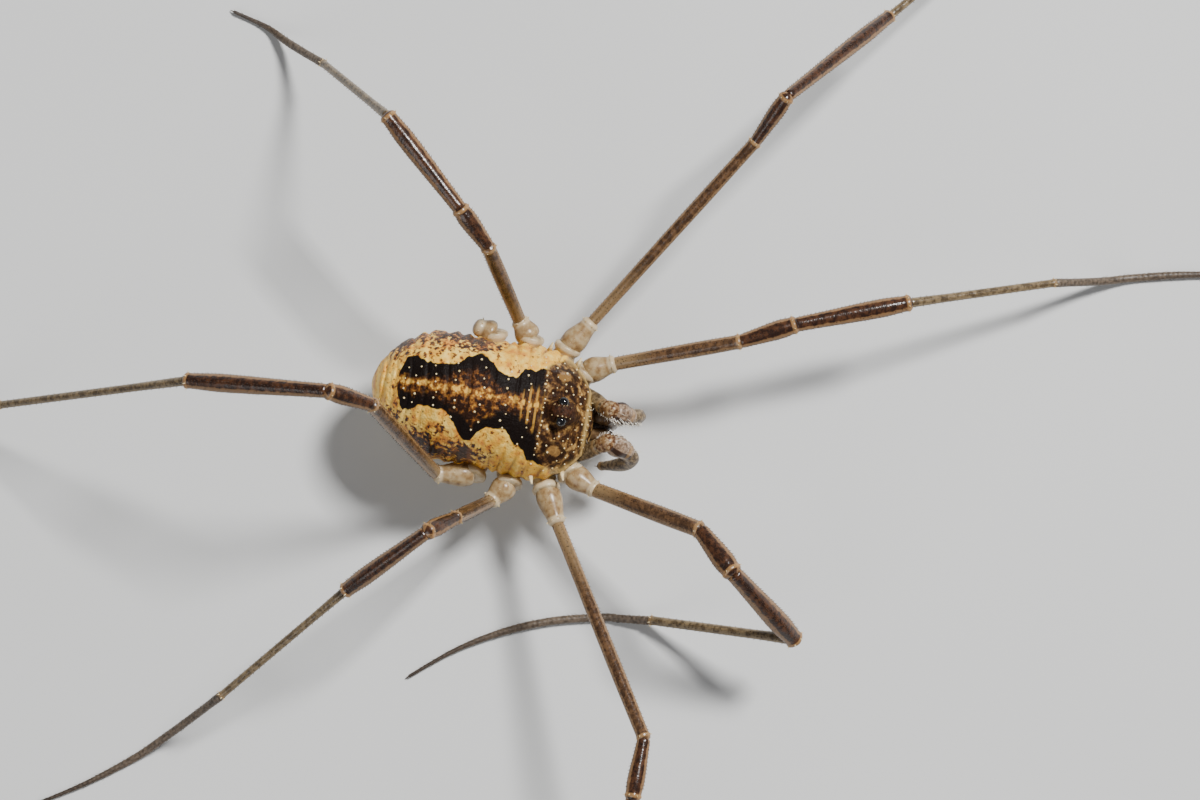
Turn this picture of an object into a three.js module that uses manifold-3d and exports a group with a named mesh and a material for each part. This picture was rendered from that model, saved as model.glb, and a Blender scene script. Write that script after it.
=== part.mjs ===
// Harvestman, a female of the Mitopus kind, standing on a flat floor. Millimetres, +Z up.
// The animal faces -Y, its left side is +X, and the origin is on the floor below its middle.
// Seven legs are whole. Of the left hind leg only the coxa and the trochanter are left.

import * as THREE from 'three';
import { mergeVertices } from 'three/addons/utils/BufferGeometryUtils.js';
import Module from 'manifold-3d';

const wasm = await Module();
wasm.setup();

// Trunk: the prosoma and opisthosoma share one outline
const TRUNK_HALF_LENGTH = 3.75;
const TRUNK_MARGIN_Z = 3.1;
const TRUNK_LEAN = 0.045;
const REAR_HALF_WIDTH = 2.15;
const REAR_WIDEST_Y = 1.4;
const REAR_ROUNDNESS = 1.7;
const FRONT_HALF_WIDTH = 2.23;
const FRONT_WIDEST_Y = -1.6;
const FRONT_ROUNDNESS = 2.1;
const WAIST_PINCH = 0.06;
const BACK_HEIGHT = 2.25;
const BACK_HIGHEST_Y = 0.6;
const BELLY_DEPTH = 1.45;
const BELLY_RISE_TO_FRONT = 0.5;
const BELLY_ROUNDNESS = 2.8;
const TRUNK_SIDES = 32;
const TRUNK_RINGS = 26;

// The seam between prosoma and opisthosoma runs from the back down and to the rear
const SEAM_TOP_Y = -1.45;
const SEAM_TOP_Z = 5.2;
const SEAM_SLOPE = 0.62;
const NODE_GAP = 0.06;

// Eye hill and eyes
const OCULARIUM_Y = -2.68;
const OCULARIUM_HALF_WIDTH = 0.4;
const OCULARIUM_HALF_LENGTH = 0.46;
const OCULARIUM_TOP_Z = 5.2;
const OCULARIUM_ROOT_DEPTH = 0.16;
const OCULARIUM_BLUNTNESS = 0.7;
const OCULARIUM_RINGS = 5;
const OCULARIUM_SIDES = 18;
const EYE_SIDES = 14;
const EYE_RINGS = 10;
const EYE_RADIUS = 0.19;
const EYE_OFFSET_X = 0.31;
const EYE_Z = 5.0;

// Legs: the end of each pair's coxa, then the lengths of its segments
const COXA_END_Z = 2.9;
const COXA_INNER_SHARE = 0.42;
const COXA_INNER_Y_SHARE = 0.7;
const COXA_INNER_Y_SHIFT = -0.25;
const COXA_INNER_Z = 2.42;
const COXA_RADIUS = 0.42;
const LEG_PAIRS = {
  1: { coxaEnd: [1.72, -3.25], femur: 4.35, patella: 1.9, tibia: 3.9, metatarsus: 5.6 },
  2: { coxaEnd: [2.38, -2.52], femur: 8.3, patella: 1.95, tibia: 6.2, metatarsus: 7.4 },
  3: { coxaEnd: [2.45, -1.25], femur: 4.1, patella: 1.6, tibia: 3.85, metatarsus: 6.2 },
  4: { coxaEnd: [2.36, -0.03], femur: 6, patella: 1.7, tibia: 5.2, metatarsus: 8.4 },
};

// Thickness of each segment: the radius at its base, at its widest and at its end
const SEGMENT_RADII = {
  trochanter: { base: 0.31, widest: 0.45, widestAt: 0.5, end: 0.31 },
  femur: { base: 0.25, widest: 0.27, widestAt: 0.8, end: 0.29 },
  patella: { base: 0.27, widest: 0.34, widestAt: 0.7, end: 0.33 },
  tibia: { base: 0.26, widest: 0.35, widestAt: 0.68, end: 0.31 },
  metatarsus: { base: 0.25, widest: 0.25, widestAt: 0.5, end: 0.25 },
};
const SEGMENT_STATIONS = [0.12, 0.4, 0.68, 0.88];
const LEG_SIDES = 8;
const DOME_RINGS = 2;

// Headings are degrees from straight ahead, positive towards the animal's left, and rises are
// degrees above level. A trochanter gives its own length third, as the shed leg's is a stub.
// A tarsus touches down on the floor, then lies along it and curves by its turn.
const LEGS = {
  L1: { trochanter: [23, 12, 0.97], femur: [17, 13.5], patella: [25, 5.5], tibia: [20, -4],
    metatarsus: [19.5, -22], tarsus: { length: 8.5, touchdown: 3.4, heading: 17, turn: -14 } },
  L2: { trochanter: [54.5, 12, 1.15], femur: [55, 19], patella: [61.5, 33], tibia: [51.5, -36],
    metatarsus: [50, -18], tarsus: { length: 12, touchdown: 2.4, heading: 54, turn: 26 } },
  L3: { trochanter: [129.5, 12, 0.7], femur: [126.5, 57], patella: [136.5, 22],
    tibia: [136.5, 3.5], metatarsus: [139, -55],
    tarsus: { length: 4.5, touchdown: 3.3, heading: 149, turn: 14 } },
  L4: { trochanter: [163.5, 12, 0.6] },
  R1: { trochanter: [-27, 12, 1], femur: [-16, 30.5], patella: [-46, 20], tibia: [-34.5, -41],
    metatarsus: [178, -32], tarsus: { length: 8.5, touchdown: 1.6, heading: -176, turn: 34 } },
  R2: { trochanter: [-64.5, 12, 1.22], femur: [-60.5, 19], patella: [-92.5, 3],
    tibia: [-92, -26], metatarsus: [-88, -19],
    tarsus: { length: 12, touchdown: 2.4, heading: -92, turn: -24 } },
  R3: { trochanter: [-125, 12, 0.85], femur: [-132, 68.5], patella: [-139, 49],
    tibia: [-139, -34.5], metatarsus: [-134, -31],
    tarsus: { length: 8, touchdown: 4.4, heading: -139, turn: -10 } },
  R4: { trochanter: [-169.5, 12, 1.22], femur: [149, 64], patella: [175.5, 34],
    tibia: [-179, -25.5], metatarsus: [-170, -38.5],
    tarsus: { length: 9, touchdown: 2.6, heading: -171, turn: 15 } },
};
const TARSUS_RADIUS = 0.25;
const TARSUS_TIP_RADIUS = 0.1;
const TARSUS_STEP = 0.75;
const FLAT_DEPTH = 0.03;
const FALLING_STEPS = 3;
const FALL_EASING = 1.6;
const LYING_STEP = 1.6;

// Mouthparts: joints as [distance out from the middle line, y, z]
const PALP_SEGMENTS = ['femur', 'patella', 'tibia', 'tarsus'];
const PALP_RADII = {
  femur: { base: 0.21, widest: 0.26, widestAt: 0.7, end: 0.26 },
  patella: { base: 0.23, widest: 0.28, widestAt: 0.6, end: 0.27 },
  tibia: { base: 0.24, widest: 0.33, widestAt: 0.55, end: 0.27 },
  tarsus: { base: 0.22, widest: 0.24, widestAt: 0.35, end: 0.08 },
};
const PALP_JOINTS = {
  L: [[1.1, -3.25, 2.6], [0.6, -4.0, 3.6], [0.5, -4.34, 3.86], [0.46, -4.87, 3.42],
    [0.62, -4.75, 1.6]],
  R: [[1.15, -3.25, 2.6], [0.74, -4.02, 3.6], [0.56, -4.36, 3.86], [0.68, -4.96, 3.38],
    [1.15, -4.22, 1.7]],
};
const PALP_TARSUS_BOW = { L: [0.7, -5.6, 2.8], R: [0.95, -5.65, 2.75] };
const CHELICERA_JOINTS = [[0.29, -3.3, 2.72], [0.31, -4.2, 3.0], [0.27, -4.42, 1.85]];
const CHELICERA_RADII = {
  base: { base: 0.25, widest: 0.25, widestAt: 0.5, end: 0.25 },
  hand: { base: 0.22, widest: 0.28, widestAt: 0.4, end: 0.2 },
};
const FINGER_LENGTH = 0.5;
const FINGER_RADII = { base: 0.1, widest: 0.1, widestAt: 0.3, end: 0.04 };
const FINGER_ROOT_OUT = 0.06;
const FINGER_BOW_OUT = 0.16;
const FINGER_TIP_OUT = 0.06;
const SMALL_STATIONS = [0.15, 0.5, 0.8];
const MERGE_DISTANCE = 1e-5;

const UP = new THREE.Vector3(0, 0, 1);
const AHEAD = new THREE.Vector3(0, -1, 0);

function paint(color, roughness) {
  return new THREE.MeshStandardMaterial({ color, roughness, metalness: 0 });
}

const materials = {
  back: paint(0xcfa050, 0.55),
  carapace: paint(0x6a4726, 0.5),
  hill: paint(0x4a2c18, 0.5),
  eye: paint(0x050505, 0.1),
  coxa: paint(0xcdbb9b, 0.5),
  leg: paint(0x5b4230, 0.5),
  foot: paint(0x8a7a68, 0.55),
  palp: paint(0x94806c, 0.5),
  mouth: paint(0xb59c78, 0.5),
};

const legMaterials = {
  trochanter: materials.coxa,
  femur: materials.leg,
  patella: materials.leg,
  tibia: materials.leg,
  metatarsus: materials.foot,
};

// Closed meshes in and out of the solid library
function closed(geometry) {
  const bare = new THREE.BufferGeometry();
  bare.setAttribute('position', geometry.getAttribute('position').clone());
  if (geometry.index) bare.setIndex(geometry.index.clone());
  const merged = mergeVertices(bare, MERGE_DISTANCE);
  const corners = merged.index.array;
  const kept = [];
  for (let i = 0; i < corners.length; i += 3) {
    const [a, b, c] = [corners[i], corners[i + 1], corners[i + 2]];
    if (a !== b && b !== c && c !== a) kept.push(a, b, c);
  }
  merged.setIndex(kept);
  return merged;
}

function solid(geometry) {
  const mesh = closed(geometry);
  return new wasm.Manifold(new wasm.Mesh({
    numProp: 3,
    vertProperties: new Float32Array(mesh.getAttribute('position').array),
    triVerts: new Uint32Array(mesh.index.array),
  }));
}

function geometryOf(body) {
  const pieces = body.decompose();
  pieces.sort((a, b) => b.volume() - a.volume());
  const mesh = pieces[0].getMesh();
  const geometry = new THREE.BufferGeometry();
  const points = new Float32Array(mesh.vertProperties);
  geometry.setAttribute('position', new THREE.BufferAttribute(points, 3));
  geometry.setIndex(new THREE.BufferAttribute(new Uint32Array(mesh.triVerts), 1));
  return geometry;
}

function reshape(geometry, map) {
  const position = geometry.getAttribute('position');
  const point = new THREE.Vector3();
  for (let i = 0; i < position.count; i += 1) {
    point.fromBufferAttribute(position, i);
    map(point);
    position.setXYZ(i, point.x, point.y, point.z);
  }
  return geometry;
}

// Trunk outline
function roundOff(along, limit, roundness) {
  const share = Math.min(Math.abs(along) / limit, 1);
  return (1 - share ** roundness) ** (1 / roundness);
}

function trunkHalfWidth(y) {
  if (y > REAR_WIDEST_Y) {
    const rear = TRUNK_HALF_LENGTH - REAR_WIDEST_Y;
    return REAR_HALF_WIDTH * roundOff(y - REAR_WIDEST_Y, rear, REAR_ROUNDNESS);
  }
  if (y < FRONT_WIDEST_Y) {
    const front = TRUNK_HALF_LENGTH + FRONT_WIDEST_Y;
    return FRONT_HALF_WIDTH * roundOff(y - FRONT_WIDEST_Y, front, FRONT_ROUNDNESS);
  }
  const share = (y - FRONT_WIDEST_Y) / (REAR_WIDEST_Y - FRONT_WIDEST_Y);
  const straight = THREE.MathUtils.lerp(FRONT_HALF_WIDTH, REAR_HALF_WIDTH, share);
  return straight - WAIST_PINCH * Math.sin(share * Math.PI) ** 2;
}

function backHeight(y) {
  const reach = y > BACK_HIGHEST_Y
    ? TRUNK_HALF_LENGTH - BACK_HIGHEST_Y
    : TRUNK_HALF_LENGTH + BACK_HIGHEST_Y;
  return BACK_HEIGHT * roundOff(y - BACK_HIGHEST_Y, reach, 2);
}

function bellyDepth(y) {
  const frontShare = THREE.MathUtils.smoothstep(-y, -0.5, TRUNK_HALF_LENGTH);
  const depth = BELLY_DEPTH - BELLY_RISE_TO_FRONT * frontShare;
  return depth * roundOff(y, TRUNK_HALF_LENGTH, BELLY_ROUNDNESS);
}

function middleX(y) {
  return TRUNK_LEAN * y;
}

function trunkPoint(y, angle) {
  const upper = Math.sin(angle) > 0;
  const z = TRUNK_MARGIN_Z + Math.sin(angle) * (upper ? backHeight(y) : bellyDepth(y));
  return new THREE.Vector3(middleX(y) + Math.cos(angle) * trunkHalfWidth(y), y, z);
}

function trunkGeometry() {
  const ball = new THREE.SphereGeometry(1, TRUNK_SIDES, TRUNK_RINGS);
  return reshape(ball, (point) => {
    point.copy(trunkPoint(TRUNK_HALF_LENGTH * point.y, Math.atan2(point.z, point.x)));
  });
}

function halfSpace(front) {
  const size = 6 * TRUNK_HALF_LENGTH;
  const box = new THREE.BoxGeometry(size, size, size);
  const shift = (size + NODE_GAP) / 2;
  box.translate(0, front ? -shift : shift, 0);
  box.rotateX(Math.atan(SEAM_SLOPE));
  box.translate(0, SEAM_TOP_Y, SEAM_TOP_Z);
  return solid(box);
}

// Limbs: a turned profile, laid along a curve
function limbProfile(length, radii, stations, grow) {
  const points = [new THREE.Vector2(0, 0), new THREE.Vector2(radii.base + grow, 0)];
  for (const share of stations) {
    const beforeWidest = share < radii.widestAt;
    const span = beforeWidest
      ? share / radii.widestAt
      : (share - radii.widestAt) / (1 - radii.widestAt);
    const from = beforeWidest ? radii.base : radii.widest;
    const to = beforeWidest ? radii.widest : radii.end;
    const eased = THREE.MathUtils.smoothstep(span, 0, 1);
    points.push(new THREE.Vector2(THREE.MathUtils.lerp(from, to, eased) + grow, length * share));
  }
  const domeRadius = radii.end + grow;
  for (let ring = 0; ring <= DOME_RINGS; ring += 1) {
    const angle = (ring / (DOME_RINGS + 1)) * (Math.PI / 2);
    const height = length + domeRadius * Math.sin(angle);
    points.push(new THREE.Vector2(domeRadius * Math.cos(angle), height));
  }
  points.push(new THREE.Vector2(0, length + domeRadius));
  return points;
}

function layAlong(geometry, curve, length, up) {
  return reshape(geometry, (point) => {
    const share = THREE.MathUtils.clamp(point.y / length, 0, 1);
    const tangent = curve.getTangentAt(share);
    const place = curve.getPointAt(share).addScaledVector(tangent, point.y - share * length);
    const side = new THREE.Vector3().crossVectors(tangent, up).normalize();
    const top = new THREE.Vector3().crossVectors(side, tangent);
    place.addScaledVector(side, point.x).addScaledVector(top, point.z);
    point.copy(place);
  });
}

function limbGeometry(curve, radii, stations, { grow = 0, up = UP } = {}) {
  const length = curve.getLength();
  const profile = limbProfile(length, radii, stations, grow);
  const turned = new THREE.LatheGeometry(profile, LEG_SIDES, Math.PI / LEG_SIDES);
  return layAlong(turned, curve, length, up);
}

function direction(headingDegrees, riseDegrees) {
  const heading = THREE.MathUtils.degToRad(headingDegrees);
  const rise = THREE.MathUtils.degToRad(riseDegrees);
  const level = Math.cos(rise);
  return new THREE.Vector3(Math.sin(heading) * level, -Math.cos(heading) * level, Math.sin(rise));
}

function sideSign(side) {
  return side === 'L' ? 1 : -1;
}

// Coxae grow from the prosoma
function coxaCurve(side, pair) {
  const [x, y] = LEG_PAIRS[pair].coxaEnd;
  const end = new THREE.Vector3(sideSign(side) * x + middleX(y), y, COXA_END_Z);
  const innerY = y * COXA_INNER_Y_SHARE + COXA_INNER_Y_SHIFT;
  const innerX = sideSign(side) * x * COXA_INNER_SHARE + middleX(innerY);
  return new THREE.LineCurve3(new THREE.Vector3(innerX, innerY, COXA_INNER_Z), end);
}

const coxaRadii = { base: COXA_RADIUS, widest: COXA_RADIUS, widestAt: 0.5, end: COXA_RADIUS };

function coxaGeometry(side, pair, grow) {
  return limbGeometry(coxaCurve(side, pair), coxaRadii, SMALL_STATIONS, { grow });
}

// The tarsus leaves its joint, touches down and curves over the floor
function tarsusCurve(start, { length, touchdown, heading, turn }) {
  const floorLine = TARSUS_RADIUS * Math.cos(Math.PI / LEG_SIDES) - FLAT_DEPTH;
  const drop = start.z - floorLine;
  const reach = Math.sqrt(touchdown ** 2 - drop ** 2);
  const points = [start.clone()];
  const place = start.clone();
  for (let i = 1; i <= FALLING_STEPS; i += 1) {
    place.addScaledVector(direction(heading, 0), reach / FALLING_STEPS);
    const left = 1 - i / FALLING_STEPS;
    points.push(new THREE.Vector3(place.x, place.y, floorLine + drop * left ** FALL_EASING));
  }
  const lying = length - touchdown;
  const steps = Math.max(Math.round(lying / LYING_STEP), 1);
  for (let i = 1; i <= steps; i += 1) {
    place.addScaledVector(direction(heading + turn * (i / steps), 0), lying / steps);
    points.push(new THREE.Vector3(place.x, place.y, floorLine));
  }
  return new THREE.CatmullRomCurve3(points, false, 'centripetal');
}

function tarsusGeometry(curve) {
  const length = curve.getLength();
  const steps = Math.round(length / TARSUS_STEP);
  const profile = [new THREE.Vector2(0, 0)];
  for (let i = 0; i <= steps; i += 1) {
    const share = i / steps;
    const thinning = THREE.MathUtils.smoothstep(share, 0.8, 1);
    const radius = THREE.MathUtils.lerp(TARSUS_RADIUS, TARSUS_TIP_RADIUS, thinning);
    profile.push(new THREE.Vector2(radius, share * length));
  }
  profile.push(new THREE.Vector2(0, length + TARSUS_TIP_RADIUS));
  const turned = new THREE.LatheGeometry(profile, LEG_SIDES, Math.PI / LEG_SIDES);
  const laid = layAlong(turned, curve, length, UP);
  return reshape(laid, (point) => {
    point.z = Math.max(point.z, 0);
  });
}

// Nodes
function node(name, geometry, material, joint) {
  geometry.translate(-joint.x, -joint.y, -joint.z);
  geometry.computeVertexNormals();
  const mesh = new THREE.Mesh(geometry, material);
  mesh.name = name;
  mesh.position.copy(joint);
  return mesh;
}

function buildTrunk() {
  const trunk = solid(trunkGeometry());
  let prosoma = trunk.intersect(halfSpace(true));
  let opisthosoma = trunk.intersect(halfSpace(false));
  for (const leg of Object.keys(LEGS)) {
    const [side, pair] = leg;
    prosoma = prosoma.add(solid(coxaGeometry(side, pair, 0)));
    opisthosoma = opisthosoma.subtract(solid(coxaGeometry(side, pair, NODE_GAP)));
  }
  const hill = hillGeometry(0);
  const hillRoom = solid(hillGeometry(NODE_GAP));
  prosoma = prosoma.subtract(hillRoom);
  let ocularium = solid(hill);
  const eyes = [];
  for (const side of ['L', 'R']) {
    const place = new THREE.Vector3(
      middleX(OCULARIUM_Y) + sideSign(side) * EYE_OFFSET_X, OCULARIUM_Y, EYE_Z);
    const eye = new THREE.SphereGeometry(EYE_RADIUS, EYE_SIDES, EYE_RINGS);
    eye.translate(place.x, place.y, place.z);
    const socket = new THREE.SphereGeometry(EYE_RADIUS + NODE_GAP / 2, EYE_SIDES, EYE_RINGS);
    socket.translate(place.x, place.y, place.z);
    ocularium = ocularium.subtract(solid(socket));
    eyes.push(node(`eye_${side}`, closed(eye), materials.eye, place));
  }
  const hillPlace = new THREE.Vector3(middleX(OCULARIUM_Y), OCULARIUM_Y, EYE_Z);
  const middle = new THREE.Vector3(0, 0, TRUNK_MARGIN_Z);
  return [
    node('opisthosoma', geometryOf(opisthosoma), materials.back, middle),
    node('prosoma', geometryOf(prosoma), materials.carapace, middle),
    node('ocularium', geometryOf(ocularium), materials.hill, hillPlace),
    ...eyes,
  ];
}

// The eye hill is a low round dome whose foot is let into the carapace
function hillGeometry(grow) {
  const footZ = trunkPoint(OCULARIUM_Y, Math.PI / 2).z - OCULARIUM_ROOT_DEPTH - grow;
  const height = OCULARIUM_TOP_Z - footZ;
  const profile = [new THREE.Vector2(0, 0)];
  for (let i = 0; i < OCULARIUM_RINGS; i += 1) {
    const angle = (i / OCULARIUM_RINGS) * (Math.PI / 2);
    profile.push(new THREE.Vector2(Math.cos(angle) ** OCULARIUM_BLUNTNESS, Math.sin(angle)));
  }
  profile.push(new THREE.Vector2(0, 1));
  const dome = new THREE.LatheGeometry(profile, OCULARIUM_SIDES);
  return reshape(dome, (point) => {
    const x = middleX(OCULARIUM_Y) + point.x * (OCULARIUM_HALF_WIDTH + grow);
    const y = OCULARIUM_Y - point.z * (OCULARIUM_HALF_LENGTH + grow);
    point.set(x, y, footZ + point.y * (height + grow));
  });
}

function buildLeg(leg) {
  const [side, pair] = leg;
  const group = new THREE.Group();
  let parent = coxaGeometry(side, pair, NODE_GAP);
  let joint = coxaCurve(side, pair).v2.clone();
  for (const [segment, pose] of Object.entries(LEGS[leg])) {
    const name = `leg_${leg}_${segment}`;
    if (segment === 'tarsus') {
      const foot = solid(tarsusGeometry(tarsusCurve(joint, pose))).subtract(solid(parent));
      group.add(node(name, geometryOf(foot), materials.foot, joint));
      break;
    }
    const [heading, rise, ownLength] = pose;
    const length = ownLength ?? LEG_PAIRS[pair][segment];
    const end = joint.clone().addScaledVector(direction(heading, rise), length);
    const curve = new THREE.LineCurve3(joint, end);
    const radii = SEGMENT_RADII[segment];
    const limb = solid(limbGeometry(curve, radii, SEGMENT_STATIONS)).subtract(solid(parent));
    group.add(node(name, geometryOf(limb), legMaterials[segment], joint));
    parent = limbGeometry(curve, radii, SEGMENT_STATIONS, { grow: NODE_GAP });
    joint = end;
  }
  return group;
}

function jointPlaces(side, joints) {
  return joints.map(([out, y, z]) => new THREE.Vector3(sideSign(side) * out + middleX(y), y, z));
}

function buildPalp(side, trunk) {
  const group = new THREE.Group();
  const places = jointPlaces(side, PALP_JOINTS[side]);
  const [bow] = jointPlaces(side, [PALP_TARSUS_BOW[side]]);
  let cutter = trunk;
  PALP_SEGMENTS.forEach((segment, i) => {
    const curve = segment === 'tarsus'
      ? new THREE.QuadraticBezierCurve3(places[i], bow, places[i + 1])
      : new THREE.LineCurve3(places[i], places[i + 1]);
    const radii = PALP_RADII[segment];
    const shape = limbGeometry(curve, radii, SMALL_STATIONS, { up: AHEAD });
    const cut = solid(shape).subtract(cutter);
    group.add(node(`pedipalp_${side}_${segment}`, geometryOf(cut), materials.palp, places[i]));
    cutter = solid(limbGeometry(curve, radii, SMALL_STATIONS, { grow: NODE_GAP, up: AHEAD }));
  });
  return group;
}

// Two small curved fingers close against each other below the hand
function fingerGeometry(side, wrist, outward) {
  const sign = sideSign(side) * outward;
  const curve = new THREE.QuadraticBezierCurve3(
    new THREE.Vector3(wrist.x + sign * FINGER_ROOT_OUT, wrist.y, wrist.z + FINGER_RADII.base),
    new THREE.Vector3(wrist.x + sign * FINGER_BOW_OUT, wrist.y, wrist.z - FINGER_LENGTH / 2),
    new THREE.Vector3(wrist.x + sign * FINGER_TIP_OUT, wrist.y, wrist.z - FINGER_LENGTH),
  );
  return limbGeometry(curve, FINGER_RADII, SMALL_STATIONS, { up: AHEAD });
}

function buildChelicera(side, trunk) {
  const group = new THREE.Group();
  const [root, knee, wrist] = jointPlaces(side, CHELICERA_JOINTS);
  const baseCurve = new THREE.LineCurve3(root, knee);
  const base = solid(limbGeometry(baseCurve, CHELICERA_RADII.base, SMALL_STATIONS));
  const rooted = base.subtract(trunk);
  group.add(node(`chelicera_${side}_base`, geometryOf(rooted), materials.mouth, root));
  const room = limbGeometry(baseCurve, CHELICERA_RADII.base, SMALL_STATIONS, { grow: NODE_GAP });
  const handCurve = new THREE.LineCurve3(knee, wrist);
  let hand = solid(limbGeometry(handCurve, CHELICERA_RADII.hand, SMALL_STATIONS, { up: AHEAD }));
  for (const outward of [1, -1]) {
    hand = hand.add(solid(fingerGeometry(side, wrist, outward)));
  }
  const cut = hand.subtract(solid(room));
  group.add(node(`chelicera_${side}_hand`, geometryOf(cut), materials.mouth, knee));
  return group;
}

const harvestman = new THREE.Group();
harvestman.add(...buildTrunk());
const trunkRoom = solid(reshape(trunkGeometry(), (point) => {
  const centre = new THREE.Vector3(middleX(point.y), point.y, TRUNK_MARGIN_Z);
  const out = point.clone().sub(centre).setLength(NODE_GAP);
  point.add(out);
}));
for (const side of ['L', 'R']) {
  harvestman.add(buildPalp(side, trunkRoom));
  harvestman.add(buildChelicera(side, trunkRoom));
}
for (const leg of Object.keys(LEGS)) {
  harvestman.add(buildLeg(leg));
}


// The origin is on the floor, below the middle of the whole animal
const reach = new THREE.Box3().setFromObject(harvestman, true);
const centre = reach.getCenter(new THREE.Vector3());
harvestman.position.set(-centre.x, -centre.y, -reach.min.z);

export default harvestman;
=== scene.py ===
import math
import random

import bmesh
import bpy
from mathutils import Matrix, Vector, noise


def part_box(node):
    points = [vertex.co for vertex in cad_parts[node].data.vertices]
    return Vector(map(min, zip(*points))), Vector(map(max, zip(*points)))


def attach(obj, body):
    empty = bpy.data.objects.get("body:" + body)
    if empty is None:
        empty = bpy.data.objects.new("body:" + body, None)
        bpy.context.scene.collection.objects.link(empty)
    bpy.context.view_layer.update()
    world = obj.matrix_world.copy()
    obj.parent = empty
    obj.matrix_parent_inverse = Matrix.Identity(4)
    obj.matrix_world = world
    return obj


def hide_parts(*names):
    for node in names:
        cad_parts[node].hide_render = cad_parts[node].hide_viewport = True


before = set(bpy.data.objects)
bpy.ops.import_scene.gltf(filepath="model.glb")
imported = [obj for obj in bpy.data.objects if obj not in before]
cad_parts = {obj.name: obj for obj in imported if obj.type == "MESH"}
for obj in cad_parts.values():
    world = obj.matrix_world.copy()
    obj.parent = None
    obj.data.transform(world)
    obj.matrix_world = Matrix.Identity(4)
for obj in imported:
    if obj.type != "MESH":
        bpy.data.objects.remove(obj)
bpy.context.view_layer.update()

MM = 0.001
UP = Vector((0, 0, 1))
AHEAD = Vector((0, -1, 0))
SIDES = {"L": 1, "R": -1}
draw = random.Random(7)

# Places are in millimetres in the animal's own frame: middle of the trunk, floor at zero

# Trunk
HALF_LENGTH = 3.75
MARGIN_Z = 3.1
LEAN = 0.045
REAR_WIDTH, REAR_WIDEST_Y, REAR_ROUNDNESS = 2.15, 1.4, 1.7
FRONT_WIDTH, FRONT_WIDEST_Y, FRONT_ROUNDNESS = 2.23, -1.6, 2.1
WAIST_PINCH = 0.06
BACK_HEIGHT, BACK_HIGHEST_Y = 2.25, 0.6
BELLY_DEPTH, BELLY_RISE, BELLY_ROUNDNESS = 1.45, 0.5, 2.8
SKIN_SIDES, SKIN_RINGS = 288, 230
TERGITE_SEAMS = (3.3, 2.95, 2.4, 1.88, 1.2, 0.45, -0.35, -1.12)
CARAPACE_SEAMS = (-1.42, -1.66, -1.88)
STERNITE_SEAMS = (0.9, 1.45, 2.0, 2.5, 2.95)
CARAPACE_REAR_Y = -1.98
OVAL_Y, OVAL_OUT, OVAL_WIDTH, OVAL_LENGTH = -2.6, 1.25, 0.24, 0.32

# Relief of the skin: a grain is height, size and seed, and a seam is depth and width
SKIN_GRAIN = ((0.012, 0.11, 0), (0.01, 0.3, 9))
CARAPACE_GRAIN = ((0.05, 0.2, 21), (0.08, 0.5, 33))
SEAM_BOW, CARAPACE_SEAM_BOW = 0.05, 0.03
TERGITE_SEAM, CARAPACE_SEAM, STERNITE_SEAM = (0.05, 0.045), (0.04, 0.035), (0.03, 0.05)
SWELLING, SWELLING_BEHIND_SEAM, SWELLING_WIDTH = 0.02, 0.16, 0.13
FLANK_FOLD, REAR_FOLD, REAR_FOLD_RATE, REAR_FOLD_BOW = 0.045, 0.02, 30, 0.12
CARAPACE_LEDGE, BELLY_PLATE = 0.05, 0.1

# Eye hill
HILL_Y = -2.68
HILL_TOP_Z = 5.2
HILL_WIDTH = 0.56
HILL_LENGTH = 0.66
EYE_OUT, EYE_Z, EYE_RADIUS = 0.31, 5.0, 0.19
EYE_RIM_SHARE, EYE_RIM_LIFT, EYE_RIM_SPREAD, EYE_RIM_THICKNESS = 0.93, 0.2, 1.28, 0.03

# The saddle's half-width on each side: a plain width, lobes as (y, extra width, half-length),
# and steps out towards the head as (from y, to y, extra width)
SADDLE_REAR_Y, SADDLE_REAR_START, SADDLE_REAR_FULL = 2.86, -0.1, 0.25
SADDLE = {
    "L": {"width": 0.8, "lobes": [(2.4, 0.15, 0.25), (0.25, 0.6, 0.6)],
          "steps": [(-1.0, -1.3, 0.4), (-1.6, -1.8, 0.15)]},
    "R": {"width": 0.7, "lobes": [(2.45, 0.2, 0.3), (0.35, 0.85, 0.5)],
          "steps": [(0, -0.6, 0.25), (-0.9, -1.3, 0.45), (-1.5, -1.8, 0.35)]},
}
# The brown stripe inside the saddle: its half-width, a lobe and a wider front
STRIPE_WIDTH, STRIPE_LOBE_Y, STRIPE_LOBE_WIDTH, STRIPE_LOBE_LENGTH = 0.3, 0.3, 0.6, 0.75
STRIPE_FRONT_WIDTH, STRIPE_FRONT_START_Y, STRIPE_FRONT_END_Y = 0.4, -1.1, -1.7

# Legs, as in the solids: coxa ends and segment lengths by pair
COXA_END_Z = 2.9
COXA_INNER_Z = 2.42
PAIRS = {
    "1": {"coxa": (1.72, -3.25), "femur": 4.35, "patella": 1.9, "tibia": 3.9, "metatarsus": 5.6},
    "2": {"coxa": (2.38, -2.52), "femur": 8.3, "patella": 1.95, "tibia": 6.2, "metatarsus": 7.4},
    "3": {"coxa": (2.45, -1.25), "femur": 4.1, "patella": 1.6, "tibia": 3.85, "metatarsus": 6.2},
    "4": {"coxa": (2.36, -0.03), "femur": 6.0, "patella": 1.7, "tibia": 5.2, "metatarsus": 8.4},
}
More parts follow.
